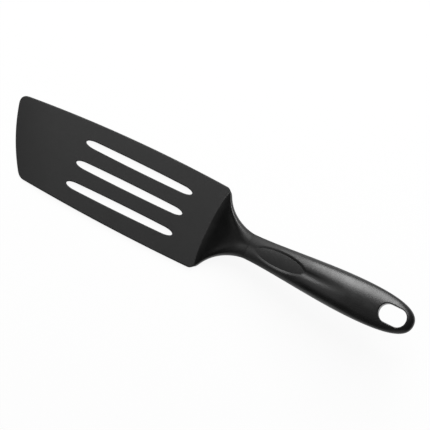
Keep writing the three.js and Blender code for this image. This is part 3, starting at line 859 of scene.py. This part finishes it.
def add_seam(skin, lift, top, inside):
    """The flat face at the seam, round the space inside and the hanging hole."""
    long_edge = [skin_point(along_at(row), 0, top)[:2] for row in SHELL_ROWS]
    short_edge = [(at, -side) for at, side in long_edge[-2::-1]]
    mouth = [row[-1][:2] for row in inside] + [row[0][:2] for row in inside[::-1]]
    border = long_edge + short_edge + mouth
    skin.fill([border, hole_line(0)], [], lambda at, side: lift(at, side, SEAM_GAP / 2))


def shell_skin(sign, hollow_start, openings):
    """One half of the handle as a closed hollow shell: above the seam for sign 1, below it for sign -1."""
    def lift(at, side, up):
        return in_space(at, side, sign * up)

    skin = Skin()
    top = sign > 0
    add_outside(skin, lift, top, openings)
    add_hole_wall(skin, lift, top)
    if top:
        add_thumb_recess(skin)
    inside = inside_rows(hollow_start)
    add_inside(skin, lift, top, inside)
    add_seam(skin, lift, top, inside)
    return skin


# The thumb pad

PAD_RINGS = [0.97] + steps(0.9, 0.1, 8)  # rings on its faces, as shares of their outlines


def pad_skin():
    """The thumb pad: an oval whose dished top rounds over at its edge."""
    skin = Skin()
    rows = []
    for turn in steps(0, math.pi / 2, FILLET_COUNT):
        drop = PAD_EDGE * (1 - math.cos(turn))
        line = oval_line(-PAD_GAP - PAD_EDGE * (1 - math.sin(turn)))
        rows.append([(at, y, pad_up(at, y) - drop) for at, y in line])
    rows.append([(at, y, pad_up(at, y) - PAD_THICKNESS) for at, y in oval_line(-PAD_GAP)])
    skin.grid(all_in_space(rows), closed=True)
    for outer, drop in ((rows[0], 0), (rows[-1], PAD_THICKNESS)):
        outline = [(at, y) for at, y, _ in outer]
        disc = [outer]
        for share in PAD_RINGS:
            disc.append([(at, y, pad_up(at, y) - drop) for at, y in shrunk(outline, share)])
        disc = all_in_space(disc)
        skin.grid(disc, closed=True)
        skin.cap(disc[-1])
    return skin


# Finishes


def add_node(tree, kind, inputs=None, **settings):
    """A shader node with its settings, and its inputs set to values or linked to sockets."""
    made = tree.nodes.new(kind)
    for name, value in settings.items():
        setattr(made, name, value)
    for name, value in (inputs or {}).items():
        if isinstance(value, bpy.types.NodeSocket):
            tree.links.new(value, made.inputs[name])
        else:
            made.inputs[name].default_value = value
    return made


def combined(tree, operation, first, second):
    """Two values, put together by one operation."""
    return add_node(tree, "ShaderNodeMath", {0: first, 1: second}, operation=operation).outputs[0]


def empty_material(name):
    """A material without nodes, and its node tree."""
    material = bpy.data.materials.new(name)
    material.use_nodes = True
    material.node_tree.nodes.clear()
    return material, material.node_tree


def noise(tree, coords, scale, detail=2):
    """A noise value whose spots are about 1 / scale metres across."""
    inputs = {"Vector": coords, "Scale": scale, "Detail": detail}
    return add_node(tree, "ShaderNodeTexNoise", inputs).outputs["Fac"]


def ranged(tree, value, low, high, start=NOISE_LOW, end=NOISE_HIGH):
    """A value between start and end, mapped to low and high."""
    inputs = {"Value": value, "From Min": start, "From Max": end, "To Min": low, "To Max": high}
    return add_node(tree, "ShaderNodeMapRange", inputs).outputs["Result"]


def grey(level):
    """A neutral colour."""
    return level, level, level, 1


def mixed_grey(tree, share, dark, light):
    """A grey between two levels."""
    mix = add_node(tree, "ShaderNodeMix", {"Factor": share}, data_type="RGBA")
    mix.inputs["A"].default_value = grey(dark)
    mix.inputs["B"].default_value = grey(light)
    return mix.outputs["Result"]


def moulded_plastic(name, dark, light, smoothest, roughest, grain, grain_depth, gloss, spans=()):
    """Black moulded plastic: a faintly cloudy colour, uneven roughness and a fine grain from the mould.

    Each span gives two places along X and the shares of the roughness there, with an even change between.
    """
    material, tree = empty_material(name)
    coords = add_node(tree, "ShaderNodeTexCoord").outputs["Object"]
    cloud = ranged(tree, noise(tree, coords, CLOUD_SCALE), 0, 1)
    rough = ranged(tree, noise(tree, coords, GLOSS_SCALE, GLOSS_DETAIL), smoothest, roughest)
    along = add_node(tree, "ShaderNodeSeparateXYZ", {"Vector": coords}).outputs["X"]
    for start, end, first, last in spans:
        share = ranged(tree, along, first, last, start * MM, end * MM)
        rough = combined(tree, "MULTIPLY", rough, share)
    bump = add_node(tree, "ShaderNodeBump", {
        "Height": noise(tree, coords, grain), "Distance": grain_depth * MM, "Strength": 1})
    shader = add_node(tree, "ShaderNodeBsdfPrincipled", {
        "Base Color": mixed_grey(tree, cloud, dark, light), "Roughness": rough,
        "Specular IOR Level": gloss, "Normal": bump.outputs["Normal"]})
    add_node(tree, "ShaderNodeOutputMaterial", {"Surface": shader.outputs["BSDF"]})
    return material


def head_nylon():
    """Matt nylon, smoother where the neck starts and rougher at the waist."""
    matte_start_x = lerp(FLARE_START_X, WAIST_X, NECK_MATTE_START)
    polish = (BEND_START_X, FLARE_START_X, 1, NECK_POLISH)
    matte = (matte_start_x, WAIST_X, 1, NECK_MATTE / NECK_POLISH)
    return moulded_plastic("head_nylon", dark=0.0015, light=0.0025, smoothest=0.48, roughest=0.56,
                           grain=2600, grain_depth=0.02, gloss=0.415, spans=(polish, matte))


def handle_plastic():
    """Satin plastic, rougher at the waist than farther back."""
    matte = (WAIST_X, WAIST_MATTE_END_X, WAIST_MATTE, 1)
    return moulded_plastic("handle_plastic", dark=0.004, light=0.0055, smoothest=0.33, roughest=0.38,
                           grain=3200, grain_depth=0.008, gloss=0.5, spans=(matte,))


def pad_rubber():
    """The finish of the thumb pad, with a deeper grain than the handle's."""
    return moulded_plastic("pad_rubber", dark=0.003, light=0.005, smoothest=0.34, roughest=0.4,
                           grain=2200, grain_depth=0.03, gloss=0.42)


def pin_steel():
    """Drawn steel wire with fine lines round it."""
    material, tree = empty_material("pin_steel")
    coords = add_node(tree, "ShaderNodeTexCoord").outputs["Object"]
    stretched = add_node(tree, "ShaderNodeMapping", {"Vector": coords, "Scale": WIRE_STRETCH})
    lines = noise(tree, stretched.outputs["Vector"], WIRE_LINE_SCALE, WIRE_LINE_DETAIL)
    spots = noise(tree, coords, WIRE_SPOT_SCALE)
    shader = add_node(tree, "ShaderNodeBsdfPrincipled", {
        "Base Color": mixed_grey(tree, spots, dark=0.48, light=0.6),
        "Roughness": ranged(tree, lines, low=0.25, high=0.45),
        "Metallic": 1})
    add_node(tree, "ShaderNodeOutputMaterial", {"Surface": shader.outputs["BSDF"]})
    return material


def make_object():
    """The four plastic pieces, and the finish of the two pins."""
    plastic = handle_plastic()
    upper = shell_skin(1, UPPER_HOLLOW_START, [HOLE_OPENING, THUMB_OPENING])
    lower = shell_skin(-1, LOWER_HOLLOW_START, [HOLE_OPENING])
    head_skin().finish("turner_head", "head_nylon", "slotted_head", head_nylon())
    upper.finish("grip_upper", "handle_plastic", "handle_upper_shell", plastic)
    lower.finish("grip_lower", "handle_plastic", "handle_lower_shell", plastic)
    pad_skin().finish("thumb_pad", "pad_rubber", "thumb_rest_pad", pad_rubber())
    steel = pin_steel()
    for name in ("front_tang_pin", "rear_tang_pin"):
        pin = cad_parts[name]
        pin.data.materials.clear()
        pin.data.materials.append(steel)


# Studio


def floor_white():
    """White paper that shows nearly plain white, with shadows faint on it."""
    material, tree = empty_material("floor_white")
    paper = add_node(tree, "ShaderNodeBsdfDiffuse", {"Color": grey(FLOOR_COLOUR)})
    glow = add_node(tree, "ShaderNodeEmission", {"Color": grey(1), "Strength": 1})
    rays = add_node(tree, "ShaderNodeLightPath").outputs
    seen = combined(tree, "MAXIMUM", rays["Is Camera Ray"], rays["Is Glossy Ray"])
    seen = combined(tree, "MAXIMUM", seen, rays["Is Transmission Ray"])
    share = combined(tree, "MULTIPLY", seen, FLOOR_GLOW)
    mixed = add_node(tree, "ShaderNodeMixShader", {0: share, 1: paper.outputs[0], 2: glow.outputs[0]})
    add_node(tree, "ShaderNodeOutputMaterial", {"Surface": mixed.outputs[0]})
    return material


def add_floor():
    """A wide level floor under the blade."""
    half = FLOOR_SIZE / 2
    corners = [(-half, -half, 0), (half, -half, 0), (half, half, 0), (-half, half, 0)]
    mesh = bpy.data.meshes.new("floor")
    mesh.from_pydata(corners, [], [(0, 1, 2, 3)])
    mesh.materials.append(floor_white())
    floor = bpy.data.objects.new("floor", mesh)
    bpy.context.scene.collection.objects.link(floor)


def add_world():
    """A studio with pale walls at the horizon and a dim ceiling."""
    world = bpy.data.worlds.new("studio")
    bpy.context.scene.world = world
    world.use_nodes = True
    tree = world.node_tree
    tree.nodes.clear()
    direction = add_node(tree, "ShaderNodeTexCoord").outputs["Generated"]
    height = add_node(tree, "ShaderNodeSeparateXYZ", {"Vector": direction}).outputs["Z"]
    level = ranged(tree, height, WALL_LEVEL, CEILING_LEVEL, WALL_TOP, CEILING_START)
    shade = add_node(tree, "ShaderNodeBackground", {"Color": grey(1), "Strength": level})
    add_node(tree, "ShaderNodeOutputWorld", {"Surface": shade.outputs[0]})


def add_softbox(name, aim, distance, size, brightness):
    """A rectangular soft light in the direction of aim, facing the middle of the view."""
    light = bpy.data.lights.new(name, "AREA")
    light.shape = "RECTANGLE"
    light.size, light.size_y = size
    light.energy = SOFTBOX_POWER * brightness * size[0] * size[1]
    lamp = bpy.data.objects.new(name, light)
    bpy.context.scene.collection.objects.link(lamp)
    toward = Vector(aim).normalized()
    lamp.location = VIEW_TARGET + toward * distance
    lamp.rotation_euler = toward.to_track_quat("Z", "Y").to_euler()


def add_camera():
    """A long lens nearly straight above the blade."""
    camera = bpy.data.objects.new("camera", bpy.data.cameras.new("camera"))
    bpy.context.scene.collection.objects.link(camera)
    back = Vector((0, -math.sin(VIEW_TILT), math.cos(VIEW_TILT)))
    right = Vector((math.cos(VIEW_ROLL), math.sin(VIEW_ROLL), 0))
    right = (right - back * right.dot(back)).normalized()
    up = back.cross(right)
    camera.matrix_world = Matrix((right, up, back)).transposed().to_4x4()
    camera.location = VIEW_TARGET + back * VIEW_DISTANCE
    camera.data.sensor_width = SENSOR_WIDTH
    camera.data.lens = SENSOR_WIDTH * VIEW_DISTANCE / PICTURE_WIDTH
    camera.data.clip_end = VIEW_END
    bpy.context.scene.camera = camera


def make_studio():
    """The floor, the walls, three soft lights and the camera."""
    add_floor()
    add_world()
    add_softbox("key_softbox", aim=(-0.16, 0.68, 0.69), distance=1.5, size=(0.7, 1.4), brightness=9.4)
    add_softbox("overhead_fill", aim=(-0.42, -0.17, 0.89), distance=2, size=(1.6, 0.65), brightness=0.82)
    add_softbox("side_fill", aim=(0.45, -0.8, 0.4), distance=2, size=(1.2, 1), brightness=0.5)
    add_camera()
    bpy.context.scene.view_settings.view_transform = "Standard"


make_object()
make_studio()
bpy.context.view_layer.update()
